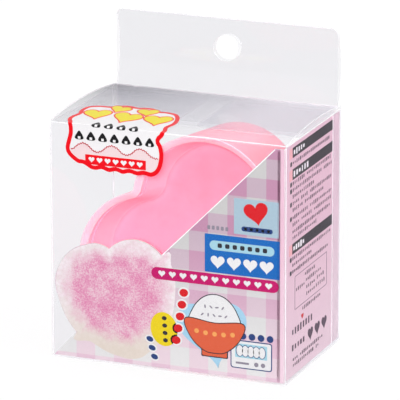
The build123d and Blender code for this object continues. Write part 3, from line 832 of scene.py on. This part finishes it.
def ricePrint():
    material, tree = newMaterial("offsetInkRice")
    here = addNode(tree, "ShaderNodeTexCoord").outputs["Object"]
    edge = addNode(tree, "ShaderNodeAttribute", attribute_name="edge")
    wander = addNode(tree, "ShaderNodeTexNoise", {
        "Vector": here, "Scale": 1 / (rice["wander"] * mm), "Detail": 4.0, "Roughness": 0.6})
    loose = addNode(tree, "ShaderNodeMapRange", {
        "Value": wander, "To Min": -rice["wanderShare"], "To Max": rice["wanderShare"]})
    rim = addNode(tree, "ShaderNodeMath", {0: edge.outputs["Fac"], 1: loose}, operation="ADD")
    grains = addNode(tree, "ShaderNodeTexVoronoi", {"Vector": here, "Scale": 1 / (rice["grain"] * mm)})
    specks = addNode(tree, "ShaderNodeTexNoise", {
        "Vector": here, "Scale": 1 / (rice["speckSize"] * mm), "Detail": 3.0, "Roughness": 0.7})
    patches = addNode(tree, "ShaderNodeTexNoise", {
        "Vector": here, "Scale": 1 / (rice["patch"] * mm), "Detail": 2.0})
    even = addNode(tree, "ShaderNodeMapRange", {
        "Value": patches, "From Min": 0.3, "From Max": 0.7, "To Min": -rice["patchShare"],
        "To Max": rice["patchShare"]})
    spread = addNode(tree, "ShaderNodeMath", {0: specks, 1: even}, operation="ADD")
    split = addNode(tree, "ShaderNodeSeparateXYZ", {"Vector": here})
    lower = addNode(tree, "ShaderNodeMapRange", {
        "Value": split.outputs["Z"], "From Min": rice["lowFrom"] * mm, "From Max": rice["lowTo"] * mm,
        "To Max": rice["lowShare"]})
    rim = addNode(tree, "ShaderNodeMath", {0: rim, 1: lower}, operation="ADD")
    pale = addNode(tree, "ShaderNodeValToRGB", {"Fac": grains},
                   stops=[(0.2, linear(rice["rim"])), (0.75, linear(rice["rimShade"]))])
    cream = addNode(tree, "ShaderNodeMapRange", {
        "Value": split.outputs["Z"], "From Min": rice["creamFrom"] * mm, "From Max": rice["creamTo"] * mm,
        "To Max": rice["creamShare"]})
    pale = addNode(tree, "ShaderNodeMix", {0: cream, 6: pale, 7: linear(rice["rimLow"])}, data_type="RGBA")
    rose = addNode(tree, "ShaderNodeValToRGB", {"Fac": spread}, stops=[
        (0.34, linear(rice["speck"])), (0.48, linear(rice["centre"])), (0.66, linear(rice["light"]))])
    share = addNode(tree, "ShaderNodeMapRange", {
        "Value": rim, "From Min": rice["fade"][0], "From Max": rice["fade"][1]})
    colour = addNode(tree, "ShaderNodeMix", {0: share, 6: rose, 7: pale}, data_type="RGBA")
    bump = addNode(tree, "ShaderNodeBump", {
        "Height": specks, "Strength": 0.05, "Distance": rice["relief"] * mm})
    ink = addNode(tree, "ShaderNodeBsdfPrincipled", {
        "Base Color": colour, "Roughness": rice["roughness"], "IOR": 1.5, "Normal": bump})
    addNode(tree, "ShaderNodeOutputMaterial", {"Surface": ink})
    return material


def arcThrough(a, b, c, count=12):  # points on the circle through three points, the last one left out
    a, b, c = Vector(a), Vector(b), Vector(c)
    p, q = b - a, c - a
    turn = 2 * (p.x * q.y - p.y * q.x)
    centre = a + Vector((q.y * p.dot(p) - p.y * q.dot(q), p.x * q.dot(q) - q.x * p.dot(p))) / turn
    first = math.atan2(a.y - centre.y, a.x - centre.x)
    sweep = math.atan2(c.y - centre.y, c.x - centre.x) - first
    sweep = sweep % (2 * math.pi) if turn > 0 else -(-sweep % (2 * math.pi))
    radius = (a - centre).length
    angles = [first + sweep * i / count for i in range(count)]
    return [tuple(centre + radius * Vector((math.cos(angle), math.sin(angle)))) for angle in angles]


def makeRice():
    corner = Vector((cardLow.x, cardLow.z)) / mm
    edge = [tuple(corner + Vector(p)) for p in rice["edge"]]
    outline = []
    for k in (0, 2, 4, 6):
        outline += arcThrough(*edge[k:k + 3])
    free = smoothLoop([edge[8], *rice["inner"], edge[0]], 4)
    outline += free[:-4]
    middle = Vector(rice["middle"])
    count = len(outline)
    top, under, drawnIn = rice["thick"], 0.0, rice["drawnIn"]
    points = [onFront(*middle, top)]
    for share in rice["shares"]:
        points += [onFront(*(middle + (Vector(p) - middle) * share * drawnIn), top) for p in outline]
    points += [onFront(*(middle + (Vector(p) - middle) * drawnIn), under) for p in outline]
    points.append(onFront(*middle, under))
    faces = [(0, 1 + i, 1 + (i + 1) % count) for i in range(count)]
    for r in range(len(rice["shares"])):
        for i in range(count):
            a, b = 1 + r * count + i, 1 + r * count + (i + 1) % count
            faces.append((a, a + count, b + count, b))
    last = 1 + len(rice["shares"]) * count
    faces += [(len(points) - 1, last + (i + 1) % count, last + i) for i in range(count)]
    piece = makePiece("ricePicture", [tuple(p) for p in points], faces, [ricePrint()])
    outwards(piece)
    attribute = piece.data.attributes.new("edge", "FLOAT", "POINT")
    each = [0.0]
    for share in rice["shares"] + (1.0,):
        each += [share] * count
    attribute.data.foreach_set("value", each + [0.0])
    place(piece, "box")


makeRice()
print("rice printed")


def grow(name, tree, sockets, edgePoints, edges, values):  # run a node tree on a wire and keep the plain mesh
    wire = makePiece(name + "Wire", edgePoints, [], [], edges=edges)
    modifier = wire.modifiers.new(name, "NODES")
    modifier.node_group = tree
    for key, value in values.items():
        modifier[sockets[key]] = value
    bpy.context.view_layer.update()
    mesh = bpy.data.meshes.new_from_object(wire.evaluated_get(bpy.context.evaluated_depsgraph_get()))
    mesh.name = name
    bpy.data.objects.remove(wire)
    piece = bpy.data.objects.new(name, mesh)
    bpy.context.scene.collection.objects.link(piece)
    return piece


def newTree(name, inputs):  # node tree with one geometry in and out, and named inputs
    tree = bpy.data.node_groups.new(name, "GeometryNodeTree")
    tree.interface.new_socket("Geometry", in_out="INPUT", socket_type="NodeSocketGeometry")
    tree.interface.new_socket("Geometry", in_out="OUTPUT", socket_type="NodeSocketGeometry")
    sockets = {key: tree.interface.new_socket(key, in_out="INPUT", socket_type=kind).identifier
               for key, kind in inputs.items()}
    return tree, sockets, addNode(tree, "NodeGroupInput")


# Rows of small marks on the card's side leaf, pale ones on the dark bars; a row: start, end and height in mm
notes = dict(
    sideNotes=dict(ink="text", pitch=1.75, wide=1.05, high=1.5, thick=0.04, share=0.96, seed=5, out=0.03, rows=[
        (9.6, 46.0, 81.2), (9.6, 47.5, 73.6), (9.6, 48.6, 71.1), (9.6, 30.0, 68.6), (9.6, 48.2, 66.1),
        (9.6, 40.0, 63.6), (9.6, 48.6, 60.7), (9.6, 48.0, 58.1), (9.6, 47.0, 55.4), (9.6, 33.0, 53.1),
        (9.6, 47.6, 45.4), (9.6, 28.0, 42.9), (9.6, 45.0, 40.4), (22.6, 31.6, 36.0), (13.4, 21.0, 32.6),
        (23.6, 38.0, 33.4), (24.0, 31.6, 30.6), (35.0, 41.0, 31.0), (24.0, 31.6, 28.0), (34.0, 42.0, 28.2),
        (20.0, 37.5, 23.6), (10.5, 40.0, 6.8), (10.5, 36.0, 4.6)]),
    largeNotes=dict(ink="text", pitch=2.7, wide=1.9, high=2.9, thick=0.04, share=1.0, seed=3, out=0.03, rows=[
        (9.8, 29.0, 17.4), (9.8, 21.0, 11.4)]),
    barNotes=dict(ink="note", pitch=2.3, wide=1.7, high=2.4, thick=0.04, share=1.0, seed=9, out=0.06, rows=[
        (10.6, 20.0, 85.0), (10.6, 24.0, 76.9), (10.6, 20.0, 49.0)]),
)


def makeNotes():
    tree, sockets, given = newTree("noteRows", {
        "Pitch": "NodeSocketFloat", "Size": "NodeSocketVector", "Share": "NodeSocketFloat",
        "Seed": "NodeSocketInt", "Ink": "NodeSocketMaterial"})
    curve = addNode(tree, "GeometryNodeMeshToCurve", {"Mesh": given.outputs["Geometry"]})
    spots = addNode(tree, "GeometryNodeResampleCurve", {"Curve": curve, "Length": given.outputs["Pitch"]},
                    mode="LENGTH")
    mark = addNode(tree, "GeometryNodeMeshCube", {"Size": given.outputs["Size"]})
    kept = addNode(tree, "FunctionNodeRandomValue", {
        "Probability": given.outputs["Share"], "Seed": given.outputs["Seed"]}, data_type="BOOLEAN")
    size = addNode(tree, "FunctionNodeRandomValue", {
        0: (1, 0.55, 0.5), 1: (1, 1, 1), "Seed": given.outputs["Seed"]}, data_type="FLOAT_VECTOR")
    marks = addNode(tree, "GeometryNodeInstanceOnPoints", {
        "Points": spots, "Selection": kept, "Instance": mark, "Scale": size})
    real = addNode(tree, "GeometryNodeRealizeInstances", {"Geometry": marks})
    inked = addNode(tree, "GeometryNodeSetMaterial", {"Geometry": real, "Material": given.outputs["Ink"]})
    addNode(tree, "NodeGroupOutput", {"Geometry": inked})
    for name, note in notes.items():
        points, edges = [], []
        for start, end, height in note["rows"]:
            edges.append((len(points), len(points) + 1))
            points += [tuple(onSide(start, height, note["out"])), tuple(onSide(end, height, note["out"]))]
        piece = grow(name, tree, sockets, points, edges, {
            "Pitch": note["pitch"] * mm, "Size": (note["thick"] * mm, note["wide"] * mm, note["high"] * mm),
            "Share": note["share"], "Seed": note["seed"], "Ink": palette[note["ink"]]})
        place(piece, "box")


makeNotes()
print("side notes printed")

# Sticker: gloss film on white, die cut to a wavy edge, laid over the lid's front crease
sticker = dict(
    thick=0.12, step=0.02, border=1.6, backIn=0.1, sink=0.5, bow=2.0, cutEvery=2.5, creaseCut=0.06,
    outline=((-38.6, 0.0), (-38.3, -3.6), (-39.6, -9.0), (-38.6, -12.0), (-35.1, -14.6), (-32.6, -14.9),
    (-29.8, -16.4), (-27.6, -16.6), (-25.4, -16.1), (-22.6, -16.9), (-20.0, -16.3), (-17.2, -17.0),
    (-14.6, -16.4), (-11.6, -17.0), (-9.0, -16.5), (-6.0, -16.9), (-3.4, -15.4), (-1.9, -12.6),
    (-1.3, -8.6), (-1.9, -5.0), (-2.8, -3.2), (-1.2, -1.2), (-0.6, 1.6), (-1.3, 4.6), (0.0, 8.6),
    (-0.6, 13.6), (-3.4, 18.4), (-8.0, 19.8), (-10.8, 19.6), (-13.6, 21.9), (-17.0, 22.3), (-20.0, 21.4),
    (-23.0, 22.4), (-26.4, 22.0), (-29.5, 19.6), (-34.3, 19.2), (-38.2, 16.8), (-39.2, 12.2), (-38.6, 9.2),
    (-40.0, 5.6), (-39.9, 2.6)),
    ball=((0, 1.7), (1.0, 0.6), (1.75, -0.9), (1.2, -1.5), (0, -1.6), (-1.2, -1.5), (-1.75, -0.9), (-1.0, 0.6)),
    hills=((-38.6, -9.6), (-36.6, -9.5), (-34.6, -7.7), (-32.8, -6.9), (-30.9, -7.6), (-28.8, -9.5),
    (-27.1, -10.0), (-25.3, -9.3), (-23.3, -7.5), (-21.4, -6.9), (-19.4, -7.6), (-17.4, -9.4),
    (-15.6, -9.9), (-13.8, -9.2), (-12.0, -7.5), (-10.3, -6.9), (-8.4, -7.6), (-6.2, -9.4), (-4.4, -10.0),
    (-2.0, -9.8))
)


def onSticker(u, v, out):  # mm across, and down the front (negative) or back over the arched lid (positive)
    front = frontLow.y / mm
    if v <= 0:
        return Vector((u, front - out, lidCrease / mm + v)) * mm
    span, bow = (lidHigh.y - lidLow.y) / mm, sticker["bow"]
    radius = (span ** 2 / 4 + bow ** 2) / (2 * bow)
    rise = math.sqrt(radius ** 2 - (v - span / 2) ** 2) - radius + bow
    return Vector((u, front + v, lidCrease / mm + rise + out)) * mm


def zigzag(points, period=0.95, swing=0.22):  # the line with fine teeth
    teeth, k = [], 0
    for a, b in zip(points, points[1:]):
        a, b = Vector(a), Vector(b)
        steps = max(2, round((b - a).length / period * 2))
        for i in range(steps):
            k += 1
            p = a + (b - a) * i / steps
            teeth.append((p.x, p.y + swing * (1 if k % 2 else -1)))
    return teeth


def makeSticker():
    base, step = sticker["thick"], sticker["step"]
    outline = smoothLoop(sticker["outline"], 4)
    field = grown(outline, -sticker["border"])
    hills = zigzag(sticker["hills"])
    lowField = [p for p in field if p[1] < -9.4]
    shapes = [("white", base - 2 * step, grown(outline, -sticker["backIn"])), ("red", base, outline),
              ("white", base + step, field),
              ("pale", base + 2 * step, lowField + [p for p in hills[::-1] if -37.4 < p[0] < -3.4]),
              ("zigzag", base + 3 * step, ribbon([p for p in hills if -37.6 < p[0] < -3.2], 0.4)),
              ("red", base + 3 * step, bar(-31.9, -14.7, -8.1, -11.1, 0.2))]
    shapes += [("white", base + 4 * step, littleHeart(-29.4 + 3.15 * i, -13.0, 2.3)) for i in range(7)]
    for x, v, width, turn in ((-31.4, 9.8, 10.0, 12), (-19.8, 9.4, 10.6, -6), (-7.8, 9.8, 10.4, 8),
                              (-25.6, 17.2, 7.6, -8), (-14.4, 16.8, 7.8, 10)):
        shapes += [("red", base + 3 * step, grown(littleHeart(x, v, width, turn), 0.55)),
                   ("yellow", base + 4 * step, littleHeart(x, v, width, turn))]
    balls = [(-27.6 + 4.9 * i, 0.9) for i in range(4)] + [(-34.2 + 4.6 * i, -4.2) for i in range(7)]
    for x, v in balls:  # dark rice ball shapes in two rows
        shapes.append(("dark", base + 3 * step, smoothLoop([(x + a, v + b) for a, b in sticker["ball"]], 4)))
        shapes.append(("white", base + 4 * step, bar(x - 0.5, v - 1.35, x + 0.5, v - 0.4, 0.1)))
    near = sticker["creaseCut"]
    cuts = [-near, near] + [k * sticker["cutEvery"] for k in range(-6, 12) if k]
    palette = {key: printInk("vinylFilm" + key.capitalize(), code, inkLayer["filmRoughness"])
               for key, code in film.items()}
    piece = makePlates("stickerLabel", shapes, palette, onSticker, cuts, sticker["sink"])
    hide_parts("sticker_front", "sticker_lid")
    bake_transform(piece)


makeSticker()
print("sticker laid")

# Creases: a milky white bead along each fold
crease = dict(
    radius=0.11, colour="f7f7fa", cover=0.55, coverSwing=0.25, streak=3, roughness=0.3, sides=8,
    foldShare=0.4, tabEnds=3, lidEnds=1.3
)


def makeCreases():
    material, tree = newMaterial("creaseBeadMilkyWhite")
    here = addNode(tree, "ShaderNodeTexCoord").outputs["Object"]
    streak = addNode(tree, "ShaderNodeTexNoise", {"Vector": here, "Scale": 1 / (crease["streak"] * mm)})
    cover = addNode(tree, "ShaderNodeMapRange", {
        "Value": streak, "To Min": crease["cover"] - crease["coverSwing"],
        "To Max": crease["cover"] + crease["coverSwing"]})
    bead = addNode(tree, "ShaderNodeBsdfPrincipled", {
        "Base Color": linear(crease["colour"]), "Roughness": crease["roughness"], "IOR": pet["ior"],
        "Alpha": cover})
    addNode(tree, "ShaderNodeOutputMaterial", {"Surface": bead})

    tree, sockets, given = newTree("creaseBeads", {
        "Radius": "NodeSocketFloat", "Sides": "NodeSocketInt", "Sheet": "NodeSocketMaterial"})
    curve = addNode(tree, "GeometryNodeMeshToCurve", {"Mesh": given.outputs["Geometry"]})
    ring = addNode(tree, "GeometryNodeCurvePrimitiveCircle", {
        "Resolution": given.outputs["Sides"], "Radius": given.outputs["Radius"]})
    rod = addNode(tree, "GeometryNodeCurveToMesh", {"Curve": curve, "Profile Curve": ring, "Fill Caps": True})
    real = addNode(tree, "GeometryNodeRealizeInstances", {"Geometry": rod})
    dressed = addNode(tree, "GeometryNodeSetMaterial", {"Geometry": real, "Material": given.outputs["Sheet"]})
    addNode(tree, "NodeGroupOutput", {"Geometry": dressed})

    inset = sheetThick / 2
    left, right = leftLow.x + inset, rightHigh.x - inset
    front, back = frontLow.y + inset, backHigh.y - inset
    top, foot = frontHigh.z, inset
    fold = lidLow.z + inset * crease["foldShare"]
    tabTop, lidBack, lidUp = backHigh.z - inset, lidHigh.y - inset, lidLow.z + inset
    tabEnds, lidEnds = crease["tabEnds"] * mm, crease["lidEnds"] * mm
    folds = {
        "box": [((x, y, foot), (x, y, top)) for x in (left, right) for y in (front, back)]
        + [((x, front, top), (x, back, top)) for x in (left, right)]
        + [((left, front, fold), (right, front, fold)),
           ((backLow.x + tabEnds, backHigh.y, tabTop), (backHigh.x - tabEnds, backHigh.y, tabTop))],
        "lid": [((lidLow.x + lidEnds, lidBack, lidUp), (lidHigh.x - lidEnds, lidBack, lidUp))],
    }
    for body, lines in folds.items():
        points = [p for line in lines for p in line]
        edges = [(2 * i, 2 * i + 1) for i in range(len(lines))]
        piece = grow(body + "Creases", tree, sockets, points, edges, {
            "Radius": crease["radius"] * mm, "Sides": crease["sides"], "Sheet": material})
        place(piece, body)


makeCreases()
print("creases ready")
